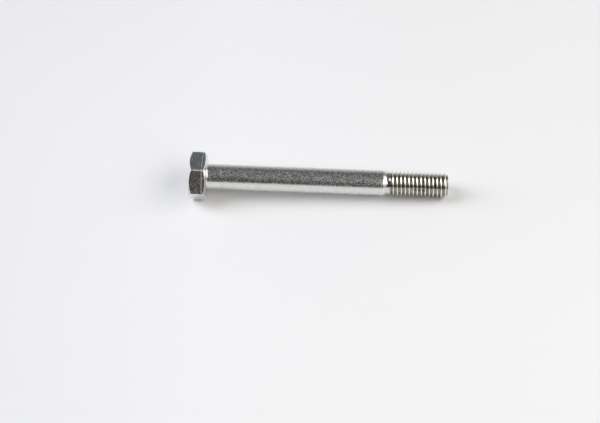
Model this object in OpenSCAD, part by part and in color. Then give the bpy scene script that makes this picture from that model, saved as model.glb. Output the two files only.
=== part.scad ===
// Hex-head bolt with a plain shank and a short coarse thread, in zinc-plated steel.
// Millimetres. The bolt's axis is X: the head is on the -X side, the thread on the +X side.
// The origin is the centre of the bearing face under the head. Two wrench flats face +Z and -Z.
// The real bolt is one piece of steel. Its head, shank and threaded end are modelled as
// three solids that meet face to face.

/* [Head] */
// Width across the wrench flats
across_flats = 13.8; // [13:0.1:16]
// Height of the head, from the bearing face to its top
head_height = 5.4; // [4:0.1:7]
// Diameter of the flat circle on top of the head
top_flat_d = 12.9; // [11.6:0.1:13.1]
// Slope of the chamfer round the top of the head, in degrees
top_chamfer_angle = 32; // [15:1:40]
// Diameter of the flat ring of the bearing face
bearing_face_d = 13.1; // [11.6:0.1:13.1]
// Slope of the smaller chamfer round the bearing side, in degrees
bearing_chamfer_angle = 24; // [10:1:30]

/* [Shank] */
// Diameter of the plain shank
shank_d = 8.0; // [7.8:0.05:8.2]
// Radius of the fillet between the head and the shank
fillet_r = 0.6; // [0.3:0.1:1]
// Length of the bolt under the head
bolt_length = 75.8; // [45:0.1:120]
// Length of the threaded end, with its chamfered point
thread_length = 19.2; // [12:0.1:30]
// Length of the cone where the shank narrows to the thread's blank
reduction_length = 1.1; // [0.5:0.1:2]

/* [Thread] */
// Largest diameter of the thread, over its crests
major_d = 7.9; // [7.75:0.01:7.95]
// Distance from one crest to the next
pitch = 1.25; // [1:0.05:1.5]
// Diameter of the blank that the thread is rolled on
blank_d = 7.2; // [7:0.05:7.4]
// Diameter of the flat end of the point
point_d = 6.2; // [5.6:0.1:6.4]
// Distance over which the first groove deepens, in pitches
run_out_pitches = 1.1; // [0.5:0.1:2]
// Turn of the thread about the bolt's axis, in degrees
thread_phase = 127; // [0:1:359]

/* [Hidden] */

// Flat sides of the head's hexagon
hex_sides = 6;
// Extra radius that carries the chamfer cones clear of the hexagon's corners
corner_margin = 1;
// Straight steps in the arc of the under-head fillet
fillet_steps = 8;
round_fn = 128;

corner_r = across_flats / 2 / cos(180 / hex_sides);
envelope_r = corner_r + corner_margin;
shank_r = shank_d / 2;
blank_r = blank_d / 2;
thread_start = bolt_length - thread_length;
reduction_start = thread_start - reduction_length;

// Thread profile of one pitch, as fractions of the pitch: root flat, flank, crest flat, flank
crest_flat = 1 / 8;
root_flat = 1 / 6;
flank_run = (1 - crest_flat - root_flat) / 2;
flank_slope = tan(60);
crest_r = major_d / 2;
root_r = crest_r - flank_run * pitch * flank_slope;
profile_u = [0, root_flat, root_flat + flank_run, root_flat + flank_run + crest_flat];
profile_r = [root_r, root_r, crest_r, crest_r];
points_per_pitch = len(profile_u);

// The thread's surface is a strip that winds round the axis, with this many steps a turn
steps = 36;
// The strip starts and stops inside the flat ends, so that it also covers their outer rings
strip_start = thread_start - pitch * (1 + 0.5 / steps);
strip_steps = ceil((bolt_length - strip_start) / pitch * steps);
last_step = strip_steps + steps;
// Least distance from a vertex of the thread to the rim of a flat end
rim_gap = 0.05;
// Distance between the strip's rings on a flat end
ring_gap = 0.3;
point_r = point_d / 2;

steel = [0.72, 0.73, 0.74];
thread_steel = [0.62, 0.62, 0.60];

// Smooth rise from 0 to 1
function ease(t) =
    let (c = max(0, min(1, t)))
    c * c * (3 - 2 * c);

// Radius of the thread at a distance x along the axis, for a profile radius r: the groove fades
// out into the blank towards the shank, and the point's 45 degree chamfer cuts the other end
function thread_radius(x, r) =
    let (depth = ease((x - thread_start) / (run_out_pitches * pitch)))
    let (rolled = blank_r + depth * (r - blank_r))
    min(rolled, point_r + bolt_length - x);

// Distance along the axis at step i of the helix, for profile point j. A j of -1 or 4 belongs
// to the turn before or after
function strip_x(i, j) =
    j < 0 ? strip_x(i - steps, j + points_per_pitch) :
    j >= points_per_pitch ? strip_x(i + steps, j - points_per_pitch) :
    strip_start + pitch * (i / steps + profile_u[j]);

// How many profile points lie between a flat end and point j, which is past that end
function past_start(i, j) =
    strip_x(i, j + 1) < thread_start ? 1 + past_start(i, j + 1) : 0;
function past_end(i, j) =
    strip_x(i, j - 1) > bolt_length ? 1 + past_end(i, j - 1) : 0;

// Distance and radius of a vertex. Past a flat end, the first vertex lies on the end's rim and
// the next ones lie on its face, each a ring further in
function strip_profile(i, j) =
    let (x = strip_x(i, j))
    let (clear_x = max(thread_start + rim_gap, min(bolt_length - rim_gap, x)))
    x < thread_start ? [thread_start, blank_r - ring_gap * past_start(i, j)] :
    x > bolt_length ? [bolt_length, point_r - ring_gap * past_end(i, j)] :
    [clear_x, thread_radius(clear_x, profile_r[j])];

// One vertex of the strip. The angle runs from +Y towards +Z, which makes a right-hand thread
function strip_point(i, j) =
    let (p = strip_profile(i, j))
    let (angle = thread_phase + 360 * i / steps)
    [p[0], p[1] * cos(angle), p[1] * sin(angle)];

// Index of that vertex. The strip's upper edge is the lower edge of the next turn
function strip_index(i, j) =
    j == points_per_pitch ? strip_index(i + steps, 0) :
    i <= strip_steps ? i * points_per_pitch + j :
    (strip_steps + 1) * points_per_pitch + (i - strip_steps - 1);

// Outline of the head's two chamfers, its bearing face and the fillet under it, as radius and
// distance from the bearing face
head_outline = concat(
    [
        [0, -head_height],
        [top_flat_d / 2, -head_height],
        [envelope_r, -head_height + (envelope_r - top_flat_d / 2) * tan(top_chamfer_angle)],
        [envelope_r, -(envelope_r - bearing_face_d / 2) * tan(bearing_chamfer_angle)],
        [bearing_face_d / 2, 0]
    ],
    [for (k = [0 : fillet_steps])
        let (a = 90 * k / fillet_steps)
        [shank_r + fillet_r * (1 - sin(a)), fillet_r * (1 - cos(a))]],
    [[0, fillet_r]]
);

// Outline of the shank, from the end of the fillet to the start of the thread
shank_outline = [
    [0, fillet_r],
    [shank_r, fillet_r],
    [shank_r, reduction_start],
    [blank_r, thread_start],
    [0, thread_start]
];

// Turns a shape whose axis is Z so that its axis is X
module along_x() {
    rotate([0, 90, 0]) children();
}

module hex_head() {
    color(steel)
        along_x()
            intersection() {
                rotate(180 / hex_sides)
                    translate([0, 0, -head_height])
                        cylinder(h = head_height + fillet_r, r = corner_r, $fn = hex_sides);
                rotate_extrude($fn = round_fn) polygon(head_outline);
            }
}

module shank() {
    color(steel)
        along_x()
            rotate_extrude($fn = round_fn) polygon(shank_outline);
}

module threaded_end() {
    strip = [for (i = [0 : strip_steps], j = [0 : points_per_pitch - 1]) strip_point(i, j)];
    upper_edge = [for (i = [strip_steps + 1 : last_step]) strip_point(i, 0)];
    // Two triangles for each step and profile point
    strip_faces = [
        for (i = [0 : strip_steps - 1], j = [0 : points_per_pitch - 1], half = [0, 1])
            half == 0 ?
                [strip_index(i, j), strip_index(i, j + 1), strip_index(i + 1, j)] :
                [strip_index(i + 1, j), strip_index(i, j + 1), strip_index(i + 1, j + 1)]
    ];
    // Each flat end is one turn of the strip's edge, closed along the strip's first or last step
    start_cap = concat(
        [for (i = [0 : steps]) strip_index(i, 0)],
        [for (j = [points_per_pitch - 1 : -1 : 1]) strip_index(0, j)]
    );
    end_cap = concat(
        [for (i = [last_step : -1 : strip_steps]) strip_index(i, 0)],
        [for (j = [1 : points_per_pitch - 1]) strip_index(strip_steps, j)]
    );

    color(thread_steel)
        polyhedron(
            points = concat(strip, upper_edge),
            faces = concat(strip_faces, [start_cap, end_cap]),
            convexity = 20
        );
}

hex_head();
shank();
threaded_end();
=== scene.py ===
"""Looks of the hex bolt: fine meshes for its head, shank and threaded end, a zinc-plated finish,
and a pale studio. Lengths are in metres, in the CAD frame: the bolt's axis is X, and the origin
is the centre of the bearing face under the head."""

import math

import bpy
from mathutils import Matrix, Vector


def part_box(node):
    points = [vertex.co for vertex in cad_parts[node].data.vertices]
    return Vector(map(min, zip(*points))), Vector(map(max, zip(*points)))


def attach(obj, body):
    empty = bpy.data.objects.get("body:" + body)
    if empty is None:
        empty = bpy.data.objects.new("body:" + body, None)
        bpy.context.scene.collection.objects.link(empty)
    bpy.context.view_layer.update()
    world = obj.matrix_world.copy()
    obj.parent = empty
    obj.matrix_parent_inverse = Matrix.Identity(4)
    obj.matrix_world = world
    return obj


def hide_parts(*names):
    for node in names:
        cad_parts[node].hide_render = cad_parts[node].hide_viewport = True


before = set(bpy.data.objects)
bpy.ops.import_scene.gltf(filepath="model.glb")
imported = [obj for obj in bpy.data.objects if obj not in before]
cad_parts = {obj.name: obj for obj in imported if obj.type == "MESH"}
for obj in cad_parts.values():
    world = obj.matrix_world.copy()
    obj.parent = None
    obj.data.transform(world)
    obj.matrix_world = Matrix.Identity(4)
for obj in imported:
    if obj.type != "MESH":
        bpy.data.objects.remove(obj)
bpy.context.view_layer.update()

MM = 0.001
HEX_SIDES = 6
SIDE_DEGREES = 360 / HEX_SIDES
# Angle from a corner of the hexagon to the middle of a flat
HALF_SIDE = math.pi / HEX_SIDES

# ---------------------------------------------------------------- sizes taken from the frame

head_low, head_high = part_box("hex_head")
_, shank_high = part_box("shank")
thread_low, thread_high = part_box("threaded_end")

HEAD_TOP_X = head_low.x
FLAT_R = head_high.z
CORNER_R = FLAT_R / math.cos(HALF_SIDE)
FILLET_R = head_high.x
SHANK_R = shank_high.z
FILLET_FOOT_R = SHANK_R + FILLET_R
THREAD_X = thread_low.x
END_X = thread_high.x
BOLT_LENGTH = END_X - HEAD_TOP_X

# ---------------------------------------------------------------- sizes of the CAD design

TOP_FLAT_R = 6.45 * MM
TOP_CHAMFER = math.radians(32)
BEARING_FLAT_R = 6.55 * MM
BEARING_CHAMFER = math.radians(24)
REDUCTION_LENGTH = 1.1 * MM
BLANK_R = 3.6 * MM
CREST_R = 3.95 * MM
POINT_R = 3.1 * MM
PITCH = 1.25 * MM
FLANK_ANGLE = math.radians(60)
ROOT_FLAT = 1 / 6
RUN_OUT = 1.1 * PITCH
THREAD_PHASE = math.radians(127)

# ---------------------------------------------------------------- how the bolt lies

# It rests on the bottom flat's edge at the bearing side, and on a crest near the point
HEAD_CONTACT_X = -0.6 * MM
TIP_CONTACT_X = END_X - 1.0 * MM
TILT = math.atan2(FLAT_R - CREST_R, TIP_CONTACT_X - HEAD_CONTACT_X)
# Turns studio axes, whose Z is straight up from the floor, into the bolt's own
STUDIO = Matrix.Rotation(-TILT, 4, "Y")
FLOOR_Z = -FLAT_R * math.cos(TILT) - HEAD_CONTACT_X * math.sin(TILT)


# ---------------------------------------------------------------- small helpers

# Faces that meet at more than this angle keep a sharp edge
SHARP_ANGLE = math.radians(32)


def clamp01(t):
    return max(0.0, min(1.0, t))


def ease(t):
    """Smooth rise from 0 to 1."""
    c = clamp01(t)
    return c * c * (3 - 2 * c)


def soft_min(a, b, width):
    """The smaller of a and b, rounded over where they cross, and how near the crossing is, from
    0 to 1."""
    h = clamp01(0.5 + 0.5 * (b - a) / width)
    return b + (a - b) * h - width * h * (1 - h), 4 * h * (1 - h)


def arc(centre_x, centre_r, radius, start, end, steps):
    """Points (x, r) on a circular arc of an outline, from angle start to end in degrees."""
    angles = [math.radians(start + (end - start) * k / steps) for k in range(steps + 1)]
    return [(centre_x + radius * math.cos(a), centre_r + radius * math.sin(a)) for a in angles]


def spread(start, end, step):
    """Evenly spaced numbers from start to end, no more than step apart, both ends included."""
    count = max(1, math.ceil(abs(end - start) / step))
    return [start + (end - start) * k / count for k in range(count + 1)]


def make_piece(name, points, faces, node, attributes):
    """A mesh object with per-vertex attributes that stands for a CAD node."""
    mesh = bpy.data.meshes.new(name)
    mesh.from_pydata(points, [], faces)
    mesh.validate()
    for key, values in attributes.items():
        layer = mesh.attributes.new(key, "FLOAT", "POINT")
        layer.data.foreach_set("value", values)
    mesh.shade_smooth()
    mesh.set_sharp_from_angle(angle=SHARP_ANGLE)
    mesh.update()
    piece = bpy.data.objects.new(name, mesh)
    bpy.context.scene.collection.objects.link(piece)
    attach(piece, "root")
    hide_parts(node)
    return piece


def ring_faces(rings, count):
    """Quads between neighbouring rings of count points each, and a flat polygon on both ends."""
    faces = []
    for ring in range(rings - 1):
        for k in range(count):
            a = ring * count + k
            b = ring * count + (k + 1) % count
            faces.append((a, a + count, b + count, b))
    faces.append(tuple(range(count)))
    last = (rings - 1) * count
    faces.append(tuple(reversed(range(last, last + count))))
    return faces


# ---------------------------------------------------------------- head

# Steps from a corner to the middle of a flat, and how much of their spacing is even: the rest
# crowds them towards the corner
HEAD_STEPS = 24
EVEN_SHARE = 0.15
CORNER_ROUND = 0.30 * MM
EDGE_ROUND = 0.16 * MM
RIM_ROUND = 0.15 * MM
RIM_ARC_DEGREES = 58
RIM_STEPS = 5
FILLET_STEPS = 16
# The small step that the trimming die leaves round the hexagon, near its bearing side
TRIM_X = -1.15 * MM
TRIM_STEP = 0.05 * MM
TRIM_WIDTH = 0.10 * MM

# Wear is this much in the middle of a corner, clamped to 1, and falls by CORNER_WEAR_FALL from
# there to where the corner's rounding ends
CORNER_WEAR = 1.4
CORNER_WEAR_FALL = 0.7
BURR_WEAR = 0.6
# Half width of the trim step's worn line, in widths of the step
BURR_REACH = 1.3

# How far the turned envelope stays outside the corners, the radius of its first ring, and the
# gaps between its rings
ENVELOPE_MARGIN = 0.3 * MM
TOP_CENTRE_R = 0.6 * MM
TOP_RING_GAP = 0.9 * MM
CHAMFER_RING_GAP = 0.035 * MM
SIDE_RING_GAP = 0.25 * MM
TRIM_RING_GAP = 0.025 * MM
FACE_RING_GAP = 0.6 * MM
# Room left for the rounded edges at the bearing face's rim and at the fillet's foot
FACE_RIM_GAP = 0.05 * MM
FACE_FOOT_GAP = 0.1 * MM


def hex_angles():
    """Angles round the head, closest together at the corners. The first corner is at 0."""
    shares = [k / HEAD_STEPS for k in range(HEAD_STEPS + 1)]
    half = [SIDE_DEGREES / 2 * (EVEN_SHARE * u + (1 - EVEN_SHARE) * u**3) for u in shares]
    side = half[:-1] + [SIDE_DEGREES - d for d in reversed(half)][:-1]
    return [
        math.radians(SIDE_DEGREES * corner + d) for corner in range(HEX_SIDES) for d in side
    ]


def hex_radius(angle):
    """Radius of the hexagon with rounded corners, and its wear there, from 0 to 1."""
    half_degrees = SIDE_DEGREES / 2
    from_corner = math.radians((math.degrees(angle) + half_degrees) % SIDE_DEGREES - half_degrees)
    centre = CORNER_R - CORNER_ROUND / math.cos(HALF_SIDE)
    # Angle from the corner at which its rounding meets the flat
    touch = math.atan2(
        CORNER_ROUND * math.sin(HALF_SIDE), centre + CORNER_ROUND * math.cos(HALF_SIDE)
    )
    corner_wear = clamp01(CORNER_WEAR - abs(from_corner) / touch * CORNER_WEAR_FALL)
    if abs(from_corner) > touch:
        return FLAT_R / math.cos(HALF_SIDE - abs(from_corner)), corner_wear
    drop = centre * math.sin(from_corner)
    radius = centre * math.cos(from_corner) + math.sqrt(CORNER_ROUND**2 - drop**2)
    return radius, corner_wear


def head_outline():
    """Points (x, r) of the head's turned envelope, from the middle of its top to the fillet's
    end. Its rings lie closest together on the chamfers and at the trim step."""
    top_slope = math.tan(TOP_CHAMFER)
    bearing_slope = math.tan(BEARING_CHAMFER)
    clear_r = CORNER_R + ENVELOPE_MARGIN
    top_end_x = HEAD_TOP_X + (clear_r - TOP_FLAT_R) * top_slope
    trim_start_x = TRIM_X - TRIM_WIDTH
    bearing_start_x = -(clear_r - BEARING_FLAT_R) * bearing_slope
    # How far the rim's rounding reaches along the flat top
    rim = RIM_ROUND * math.tan(TOP_CHAMFER / 2)
    last_top_r = TOP_FLAT_R - 4 * rim

    top = [(HEAD_TOP_X, r) for r in spread(TOP_CENTRE_R, last_top_r, TOP_RING_GAP)]
    rim_arc = arc(
        HEAD_TOP_X + RIM_ROUND, TOP_FLAT_R - rim, RIM_ROUND, 180, 180 - RIM_ARC_DEGREES, RIM_STEPS
    )
    chamfer_r = spread(TOP_FLAT_R + rim, clear_r, CHAMFER_RING_GAP)
    chamfer = [(HEAD_TOP_X + (r - TOP_FLAT_R) * top_slope, r) for r in chamfer_r]
    side = [(x, clear_r) for x in spread(top_end_x, trim_start_x, SIDE_RING_GAP)[1:]]
    side += [(x, clear_r) for x in spread(trim_start_x, bearing_start_x, TRIM_RING_GAP)[1:]]
    foot_r = spread(clear_r, BEARING_FLAT_R + FACE_RIM_GAP, CHAMFER_RING_GAP)[1:]
    foot = [(-(r - BEARING_FLAT_R) * bearing_slope, r) for r in foot_r]
    face_r = spread(BEARING_FLAT_R - FACE_RIM_GAP, FILLET_FOOT_R + FACE_FOOT_GAP, FACE_RING_GAP)
    face = [(0.0, r) for r in face_r]
    fillet = arc(FILLET_R, FILLET_FOOT_R, FILLET_R, 180, 270, FILLET_STEPS)
    return top + rim_arc + chamfer + side + foot + face + fillet


def build_head():
    """The hexagon, cut by its turned envelope with rounded edges."""
    angles = hex_angles()
    outline = head_outline()
    around = [(math.cos(a), math.sin(a), *hex_radius(a)) for a in angles]
    points, wear, groove_shade_and_grime = [], [], []
    for x, envelope_r in outline:
        trim = ease((x - TRIM_X) / TRIM_WIDTH + 0.5)
        burr = BURR_WEAR * clamp01(BURR_REACH - abs(x - TRIM_X) / TRIM_WIDTH)
        for c, s, side_r, corner_wear in around:
            r, edge = soft_min(envelope_r, side_r - TRIM_STEP * trim, EDGE_ROUND)
            on_side = 1.0 if envelope_r > side_r - EDGE_ROUND else 0.0
            points.append((x, r * c, r * s))
            wear.append(max(edge, corner_wear * on_side, burr))
            groove_shade_and_grime.append(0.0)
    faces = ring_faces(len(outline), len(angles))
    return make_piece("head_forged", points, faces, "hex_head", {"wear": wear, "groove_shade_and_grime": groove_shade_and_grime})


# ---------------------------------------------------------------- shank

SHANK_SEGMENTS = 192
# The faint ring that a die left near the head
DIE_MARK_X = 4.9 * MM
DIE_MARK_HALF = 0.08 * MM
DIE_MARK_DEPTH = 0.012 * MM
DIE_MARK_STEPS = 8

# Both ends of the reduction cone are rounded over, so its straight part is a little shorter
SHOULDER_X = THREAD_X - REDUCTION_LENGTH
CONE_START_X = SHOULDER_X + 0.14 * MM
CONE_END_X = THREAD_X - 0.10 * MM
SHOULDER_ROUND = 0.20 * MM
FOOT_ROUND = 0.18 * MM
SHOULDER_WEAR_REACH = 0.3 * MM

# The last ring of the plain shank, the first and last of the cone's shoulder, and the first of
# the cone
PLAIN_END_X = CONE_START_X - 0.4 * MM
SHOULDER_FIRST_X = CONE_START_X - 0.25 * MM
SHOULDER_LAST_X = CONE_START_X + 0.24 * MM
CONE_FIRST_X = CONE_START_X + 0.3 * MM
# Gaps between the rings: before the die mark, along the plain shank, on the shoulder and on the
# cone
HEAD_SIDE_GAP = 0.8 * MM
PLAIN_GAP = 2.5 * MM
SHOULDER_GAP = 0.071 * MM
CONE_GAP = 0.05 * MM


def shank_outline():
    """Points (x, r) of the shank, from the fillet's end to the end of the reduction cone."""
    before_mark = DIE_MARK_X - 2 * DIE_MARK_HALF
    after_mark = DIE_MARK_X + 2 * DIE_MARK_HALF
    outline = [(x, SHANK_R) for x in spread(FILLET_R, before_mark, HEAD_SIDE_GAP)]
    for k in range(DIE_MARK_STEPS + 1):
        # Runs from -1 to 1 across the mark
        across = k / (DIE_MARK_STEPS / 2) - 1
        dip = DIE_MARK_DEPTH * (1 + math.cos(math.pi * across)) / 2
        outline.append((DIE_MARK_X + DIE_MARK_HALF * across, SHANK_R - dip))
    outline += [(x, SHANK_R) for x in spread(after_mark, PLAIN_END_X, PLAIN_GAP)]

    slope = (SHANK_R - BLANK_R) / (CONE_END_X - CONE_START_X)
    stations = spread(SHOULDER_FIRST_X, SHOULDER_LAST_X, SHOULDER_GAP)
    stations += spread(CONE_FIRST_X, THREAD_X, CONE_GAP)
    for x in stations:
        cone_r = SHANK_R - (x - CONE_START_X) * slope
        r, _ = soft_min(SHANK_R, cone_r, SHOULDER_ROUND)
        outline.append((x, -soft_min(-r, -BLANK_R, FOOT_ROUND)[0]))
    return outline


def build_shank():
    """The plain cylinder with its faint ring, and the cone down to the thread's blank."""
    outline = shank_outline()
    turns = [2 * math.pi * k / SHANK_SEGMENTS for k in range(SHANK_SEGMENTS)]
    points, wear, groove_shade_and_grime = [], [], []
    for x, r in outline:
        mark = clamp01(1 - abs(x - DIE_MARK_X) / (2 * DIE_MARK_HALF))
        shoulder = clamp01(1 - abs(x - SHOULDER_X) / SHOULDER_WEAR_REACH)
        for a in turns:
            points.append((x, r * math.cos(a), r * math.sin(a)))
            wear.append(shoulder)
            # Painted shade in the die mark's groove
            groove_shade_and_grime.append(mark)
    faces = ring_faces(len(outline), SHANK_SEGMENTS)
    return make_piece("shank_drawn", points, faces, "shank", {"wear": wear, "groove_shade_and_grime": groove_shade_and_grime})


# ---------------------------------------------------------------- thread

TURN_STEPS = 96
CREST_ROUND = 0.17 * MM
ROOT_ROUND = 0.09 * MM
POINT_ROUND = 0.08 * MM
# Straight steps in each half of a round root or crest
ROUND_STEPS = 4
# Least distance from a vertex of the thread to the rim of a flat end, and the distance between
# the strip's rings on a flat end
RIM_GAP = 0.02 * MM
RING_GAP = 0.06 * MM
# The rounded rim of the point: how far each of its rings is from the end, and inside POINT_R
RIM_DROP = [(0.10 * MM, -0.10 * MM), (0.03 * MM, -0.01 * MM), (0.0, 0.07 * MM)]
# Depth below the crest at which its wear ends, and the depth over which it fades
CREST_WEAR_DEPTH = 0.12 * MM
CREST_WEAR_FADE = 0.1 * MM


def thread_profile():
    """Points (u, r) of one pitch of the rolled thread, with a round root and a round crest. u runs
    from 0 to 1 along the pitch, and it is 0 half a root flat before the root's lowest line."""
    root_reach = ROOT_ROUND * math.sin(FLANK_ANGLE)
    crest_start = PITCH / 2 - CREST_ROUND * math.sin(FLANK_ANGLE)
    root_r = CREST_R - (PITCH / 2 * math.tan(FLANK_ANGLE) - CREST_ROUND - ROOT_ROUND)
    tilts = [FLANK_ANGLE * k / ROUND_STEPS for k in range(ROUND_STEPS + 1)]
    root = [(ROOT_ROUND * math.sin(t), root_r + ROOT_ROUND * (1 - math.cos(t))) for t in tilts]
    crest = [(CREST_ROUND * math.sin(t), CREST_R - CREST_ROUND * (1 - math.cos(t))) for t in tilts]
    flank = [((root_reach + crest_start) / 2, (root[-1][1] + crest[-1][1]) / 2)]
    half = root + flank + [(PITCH / 2 - d, r) for d, r in reversed(crest)]
    both = half + [(PITCH - d, r) for d, r in reversed(half[1:-1])]
    shifted = sorted(((d / PITCH + ROOT_FLAT / 2) % 1, r) for d, r in both)
    # The strip's edge has to lie at 0
    return [(0.0, shifted[0][1])] + shifted[1:]


def build_thread():
    """A strip that winds round the axis. Its upper edge is the lower edge of the next turn, and it
    runs on past both flat ends, where its vertices lie on the end's face."""
    profile = thread_profile()
    stops = [u for u, r in profile]
    radii = [r for u, r in profile]
    stop_count = len(profile)
    root_r = min(radii)
    start_x = THREAD_X - PITCH * (1 + 0.5 / TURN_STEPS)
    last = math.ceil((END_X - start_x) / PITCH * TURN_STEPS)

    def raw_x(i, j):
        turns, stop = divmod(j, stop_count)
        return start_x + PITCH * (i / TURN_STEPS + stops[stop] + turns)

    def past(i, j, step, limit):
        """How many profile stops lie between a flat end and stop j, which is past that end."""
        count = 0
        while (raw_x(i, j + step * (count + 1)) - limit) * -step > 0:
            count += 1
        return count

    def rolled(i, j):
        """Distance and radius of a vertex of the strip, and how deep in the groove it lies, from
        0 to 1."""
        x = raw_x(i, j)
        if x < THREAD_X:
            return THREAD_X, BLANK_R - RING_GAP * past(i, j, 1, THREAD_X), 0.0
        rim_x = END_X - RIM_DROP[0][0]
        if x > rim_x:
            ring = past(i, j, -1, rim_x)
            if ring < len(RIM_DROP):
                back, drop = RIM_DROP[ring]
                return END_X - back, POINT_R - drop, 0.0
            inward = RIM_DROP[-1][1] + RING_GAP * (ring - len(RIM_DROP) + 1)
            return END_X, POINT_R - inward, 0.0
        x = max(THREAD_X + RIM_GAP, min(rim_x - RIM_GAP, x))
        depth = ease((x - THREAD_X) / RUN_OUT)
        lift = radii[j] - BLANK_R
        # The crests rise later than the grooves sink
        r = BLANK_R + lift * (depth**3 if lift > 0 else depth)
        cone_r = POINT_R + END_X - x
        r = soft_min(r, cone_r, POINT_ROUND)[0]
        return x, r, depth * clamp01((CREST_R - r) / (CREST_R - root_r))

    points, wear, groove_shade_and_grime = [], [], []
    index = {}

    def add(i, j):
        x, r, groove = rolled(i, j)
        angle = THREAD_PHASE + 2 * math.pi * i / TURN_STEPS
        index[i, j] = len(points)
        points.append((x, r * math.cos(angle), r * math.sin(angle)))
        wear.append(clamp01((r - CREST_R + CREST_WEAR_DEPTH) / CREST_WEAR_FADE))
        # The deeper in the groove, the more painted shade, with some grime
        groove_shade_and_grime.append(groove)

    for i in range(last + 1):
        for j in range(stop_count):
            add(i, j)
    for i in range(last + 1, last + TURN_STEPS + 1):
        add(i, 0)

    def at(i, j):
        return index[i, j] if j < stop_count else index[i + TURN_STEPS, 0]

    faces = []
    for i in range(last):
        for j in range(stop_count):
            faces.append((at(i, j), at(i + 1, j), at(i, j + 1)))
            faces.append((at(i + 1, j), at(i + 1, j + 1), at(i, j + 1)))
    start_loop = [at(i, 0) for i in range(TURN_STEPS + 1)]
    start_loop += [at(0, j) for j in range(stop_count - 1, 0, -1)]
    end_loop = [at(i, 0) for i in range(last + TURN_STEPS, last - 1, -1)]
    end_loop += [at(last, j) for j in range(1, stop_count)]
    faces.append(tuple(reversed(start_loop)))
    faces.append(tuple(reversed(end_loop)))
    attributes = {"wear": wear, "groove_shade_and_grime": groove_shade_and_grime}
    return make_piece("thread_rolled", points, faces, "threaded_end", attributes)


# ---------------------------------------------------------------- material

MM_PER_METRE = 1000.0
COOL_ZINC = (0.66, 0.68, 0.69, 1)
WARM_ZINC = (0.74, 0.715, 0.67, 1)
PALE_ZINC = (0.92, 0.91, 0.89, 1)
# Dark olive brown for the grooves: partly real grime, partly painted shade
GRIME_AND_GROOVE_SHADE = (0.34, 0.29, 0.17, 1)
RUST = (0.13, 0.065, 0.04, 1)
# Squeezes the drawn grain's coordinates along the bolt, which draws its noise out to streaks
STREAKS = (0.08, 1.0, 1.0)
# Height of the bump for a grain of 1
GRAIN_UNIT = 0.00001


class Nodes:
    """Short calls that add and join the nodes of one material."""

    def __init__(self, tree):
        self.tree = tree

    def add(self, kind, *values, settings=None, **named):
        """A new node. Values go to its inputs in order, and named ones to the inputs so named."""
        node = self.tree.nodes.new(kind)
        for key, value in (settings or {}).items():
            setattr(node, key, value)
        for socket, value in zip(node.inputs, values):
            self.plug(socket, value)
        for key, value in named.items():
            self.plug(node.inputs[key], value)
        return node

    def plug(self, socket, value):
        """Joins an output to a socket, or sets the socket to a constant."""
        if isinstance(value, bpy.types.NodeSocket):
            self.tree.links.new(value, socket)
        else:
            socket.default_value = value

    def math(self, operation, a, b, clamp=False):
        settings = {"operation": operation, "use_clamp": clamp}
        return self.add("ShaderNodeMath", a, b, settings=settings).outputs[0]

    def noise(self, place, scale, detail=2.0, roughness=0.5):
        node = self.add(
            "ShaderNodeTexNoise", Vector=place, Scale=scale, Detail=detail, Roughness=roughness
        )
        return node.outputs["Fac"]

    def remap(self, value, low, high, to_low, to_high):
        limits = (value, low, high, to_low, to_high)
        return self.add("ShaderNodeMapRange", *limits, settings={"clamp": True}).outputs[0]

    def mix(self, factor, a, b):
        """Colour a at factor 0 and b at 1."""
        node = self.add("ShaderNodeMix", factor, settings={"data_type": "RGBA"})
        self.plug(node.inputs[6], a)
        self.plug(node.inputs[7], b)
        return node.outputs[2]

    def attribute(self, name):
        return self.add("ShaderNodeAttribute", settings={"attribute_name": name}).outputs["Fac"]


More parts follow.
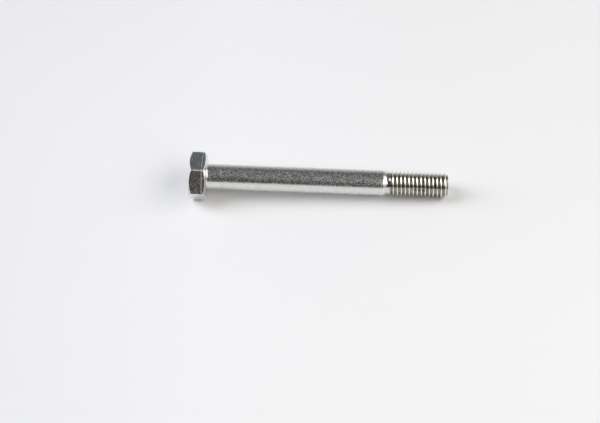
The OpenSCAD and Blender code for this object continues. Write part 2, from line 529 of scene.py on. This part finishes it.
def zinc_steel(name, roughness, grain, sparkle, worn, grime_and_shade):
    """Zinc-plated steel: mottled grey metal with a fine grain, pale specks that are painted
    glints, worn edges, and grooves darkened by painted shade together with some real grime and
    rust. The specks and the worn edges are rougher than the rest, by sparkle and by worn. Noise
    scales are per millimetre."""
    material = bpy.data.materials.new(name)
    material.use_nodes = True
    tree = material.node_tree
    shader = tree.nodes["Principled BSDF"]
    n = Nodes(tree)
    coords = n.add("ShaderNodeTexCoord").outputs["Object"]
    scale = {"operation": "SCALE"}
    in_mm = n.add("ShaderNodeVectorMath", settings=scale, Vector=coords, Scale=MM_PER_METRE)
    place = in_mm.outputs[0]
    multiply = {"operation": "MULTIPLY"}
    along = n.add("ShaderNodeVectorMath", place, STREAKS, settings=multiply).outputs[0]

    broad = n.noise(place, 0.22, 3.0)
    patches = n.noise(place, 0.8, 3.0, 0.6)
    mottle = n.noise(place, 2.4, 3.0, 0.65)
    spangle = n.noise(place, 5.0, 2.0, 0.6)
    drawn = n.noise(along, 4.0, 2.0, 0.6)
    glint_speck = n.remap(n.noise(place, 4.2, 1.0, 0.6), 0.48, 0.66, 0, 1)
    rust_spots = n.remap(n.noise(place, 0.7, 2.0), 0.61, 0.68, 0, 1.0)
    wear = n.attribute("wear")
    groove_shade_and_grime = n.attribute("groove_shade_and_grime")

    # Colour: clean metal, then what is rubbed pale, then painted shade with some real grime, and
    # rust, in the grooves
    colour = n.mix(n.remap(patches, 0.35, 0.65, 0, 1), COOL_ZINC, WARM_ZINC)
    colour = n.mix(n.remap(mottle, 0.56, 0.72, 0, 0.7), colour, PALE_ZINC)
    # Painted glints: the specks are paler, standing in for the light that their tilted grains
    # catch
    colour = n.mix(n.math("MULTIPLY", glint_speck, 0.6), colour, PALE_ZINC)
    rubbed = n.math("MULTIPLY", wear, n.remap(patches, 0.3, 0.6, 0.5, 1.0))
    colour = n.mix(rubbed, colour, PALE_ZINC)
    # Painted shade: the grooves and the die mark darken towards this colour, partly for real
    # grime, partly for the shade that falls in them
    grime_and_shade_mask = n.math("MULTIPLY", groove_shade_and_grime, n.remap(broad, 0.3, 0.7, grime_and_shade * 0.6, grime_and_shade))
    colour = n.mix(grime_and_shade_mask, colour, GRIME_AND_GROOVE_SHADE)
    colour = n.mix(n.math("MULTIPLY", groove_shade_and_grime, rust_spots), colour, RUST)
    n.plug(shader.inputs["Base Color"], colour)
    shader.inputs["Metallic"].default_value = 1.0

    rough = n.remap(patches, 0.3, 0.7, roughness * 0.8, roughness * 1.2)
    rough = n.math("ADD", rough, n.remap(mottle, 0.35, 0.65, -0.03, 0.05))
    rough = n.math("ADD", rough, n.math("MULTIPLY", rubbed, worn))
    rough = n.math("ADD", rough, n.math("MULTIPLY", glint_speck, sparkle), clamp=True)
    n.plug(shader.inputs["Roughness"], rough)

    height = n.math("ADD", mottle, n.math("MULTIPLY", spangle, 0.5))
    height = n.math("ADD", height, n.math("MULTIPLY", drawn, 0.35))
    bump = n.add("ShaderNodeBump", Strength=1.0, Distance=grain * GRAIN_UNIT, Height=height)
    n.plug(shader.inputs["Normal"], bump.outputs[0])
    return material


# ---------------------------------------------------------------- studio

STAGE_SIZE = 30 * BOLT_LENGTH
SOFTBOX_DISTANCE = 0.7
# Where the lights point, as a part of the bolt's length
SOFTBOX_AIM = 0.4

# The camera is turned and raised in degrees, as seen from the point on the floor that it faces
CAMERA_AZIMUTH = 4.42
CAMERA_ELEVATION = 48.09
CAMERA_ROLL = -2.615
CAMERA_DISTANCE = 0.4879
CAMERA_LENS = 93.26
CAMERA_SENSOR = 36
# Where it points: along the bolt, as a part of its length from the head's top, and across
CAMERA_AIM = 0.4304
CAMERA_AIM_Y = -8.26 * MM

PAPER_DARK = (0.84, 0.84, 0.85, 1)
PAPER_LIGHT = (0.87, 0.87, 0.88, 1)
PAPER_SHADE_LEFT = (0.75, 0.75, 0.77, 1)
PAPER_CLOUDS = 9.0
# Painted shade: the paper darkens from the bolt's head towards the left, fully by this X
PAPER_SHADE_X = -0.12

ROOM_FRONT = (0.070, 0.062, 0.053, 1)
ROOM_BACK = (0.050, 0.072, 0.095, 1)
CEILING = (0.11, 0.12, 0.13, 1)
LOW_WALL = (0.70, 0.68, 0.62, 1)
BACKDROP = (0.86, 0.86, 0.87, 1)


def in_studio(obj, place):
    """Puts a light, the camera or the floor where it belongs round the lying bolt."""
    obj.matrix_world = STUDIO @ place


def aimed(position, target, roll=0.0):
    """Where something stands and faces, in studio axes."""
    turn = (Vector(target) - Vector(position)).to_track_quat("-Z", "Y").to_matrix().to_4x4()
    return Matrix.Translation(position) @ turn @ Matrix.Rotation(roll, 4, "Z")


def build_camera():
    azimuth = math.radians(CAMERA_AZIMUTH)
    elevation = math.radians(CAMERA_ELEVATION)
    target = Vector((HEAD_TOP_X + CAMERA_AIM * BOLT_LENGTH, CAMERA_AIM_Y, FLOOR_Z))
    back = Vector((
        math.sin(azimuth) * math.cos(elevation),
        -math.cos(azimuth) * math.cos(elevation),
        math.sin(elevation),
    ))
    data = bpy.data.cameras.new("camera")
    data.sensor_width = CAMERA_SENSOR
    data.lens = CAMERA_LENS
    data.clip_start = 0.01
    data.clip_end = 10
    camera = bpy.data.objects.new("camera", data)
    bpy.context.scene.collection.objects.link(camera)
    position = target + CAMERA_DISTANCE * back
    in_studio(camera, aimed(position, target, math.radians(CAMERA_ROLL)))
    bpy.context.scene.camera = camera


def build_floor():
    """A large sheet of pale paper, slightly cloudy, with painted shade that darkens it to the
    left.
    """
    half = STAGE_SIZE / 2
    corners = [(-half, -half, 0), (half, -half, 0), (half, half, 0), (-half, half, 0)]
    mesh = bpy.data.meshes.new("floor")
    mesh.from_pydata(corners, [], [(0, 1, 2, 3)])
    floor = bpy.data.objects.new("floor", mesh)
    bpy.context.scene.collection.objects.link(floor)
    in_studio(floor, Matrix.Translation((0, 0, FLOOR_Z)))
    material = bpy.data.materials.new("pale_paper")
    material.use_nodes = True
    n = Nodes(material.node_tree)
    shader = material.node_tree.nodes["Principled BSDF"]
    coords = n.add("ShaderNodeTexCoord").outputs["Object"]
    paper = n.mix(n.noise(coords, PAPER_CLOUDS, 2.0), PAPER_DARK, PAPER_LIGHT)
    parts = n.add("ShaderNodeSeparateXYZ", Vector=coords).outputs
    # Painted shade: the paper darkens towards the left of the head
    rightwards = n.remap(parts["X"], PAPER_SHADE_X, 0.0, 0, 1)
    n.plug(shader.inputs["Base Color"], n.mix(rightwards, PAPER_SHADE_LEFT, paper))
    shader.inputs["Roughness"].default_value = 0.9
    shader.inputs["Specular IOR Level"].default_value = 0.2
    mesh.materials.append(material)


def softbox(name, azimuth, elevation, size, radiance, colour):
    """A rectangular light that faces the bolt. Azimuth is counted from +X towards +Y."""
    turn, rise = math.radians(azimuth), math.radians(elevation)
    flat = math.cos(rise)
    direction = Vector((flat * math.cos(turn), flat * math.sin(turn), math.sin(rise)))
    data = bpy.data.lights.new(name, "AREA")
    data.shape = "RECTANGLE"
    data.size, data.size_y = size
    data.energy = radiance * math.pi * size[0] * size[1]
    data.color = colour
    light = bpy.data.objects.new(name, data)
    light.visible_camera = False
    bpy.context.scene.collection.objects.link(light)
    in_studio(light, aimed(SOFTBOX_DISTANCE * direction, (BOLT_LENGTH * SOFTBOX_AIM, 0, 0)))


def build_world():
    """A dim room with a paler ceiling and a low wall behind the bolt, seen only in reflections and
    as soft light. The camera sees a plain backdrop."""
    world = bpy.data.worlds.new("studio")
    bpy.context.scene.world = world
    world.use_nodes = True
    tree = world.node_tree
    n = Nodes(tree)
    direction = n.add("ShaderNodeTexCoord").outputs["Generated"]
    parts = n.add("ShaderNodeSeparateXYZ", Vector=direction).outputs
    backwards = n.remap(parts["Y"], -0.5, 0.3, 0, 1)
    overhead = n.remap(parts["Z"], 0.5, 0.95, 0, 1)
    low_down = n.remap(parts["Z"], 0.1, 0.75, 1, 0)
    behind = n.remap(parts["Y"], 0.1, 0.5, 0, 1)
    room = n.mix(backwards, ROOM_FRONT, ROOM_BACK)
    room = n.mix(overhead, room, CEILING)
    room = n.mix(n.math("MULTIPLY", low_down, behind), room, LOW_WALL)
    camera_ray = n.add("ShaderNodeLightPath").outputs["Is Camera Ray"]
    background = tree.nodes["Background"]
    n.plug(background.inputs["Color"], n.mix(camera_ray, room, BACKDROP))
    background.inputs["Strength"].default_value = 1.0


build_camera()
build_floor()
build_world()
softbox(
    "softbox_left", azimuth=176, elevation=36, size=(0.48, 0.95),
    radiance=4.2, colour=(0.94, 0.95, 1.0),
)
softbox(
    "softbox_right", azimuth=-16, elevation=40, size=(0.95, 0.45),
    radiance=3.1, colour=(1.0, 0.975, 0.93),
)
bpy.context.scene.view_settings.view_transform = "Standard"

head = build_head()
shank = build_shank()
thread = build_thread()
head.data.materials.append(
    zinc_steel("zinc_head", roughness=0.18, grain=2.5, sparkle=0.09, worn=0.30, grime_and_shade=0.5)
)
shank.data.materials.append(
    zinc_steel("zinc_shank", roughness=0.19, grain=2.2, sparkle=0.21, worn=0.06, grime_and_shade=0.5)
)
thread.data.materials.append(
    zinc_steel("zinc_thread", roughness=0.13, grain=1.0, sparkle=0.03, worn=0.06, grime_and_shade=0.8)
)
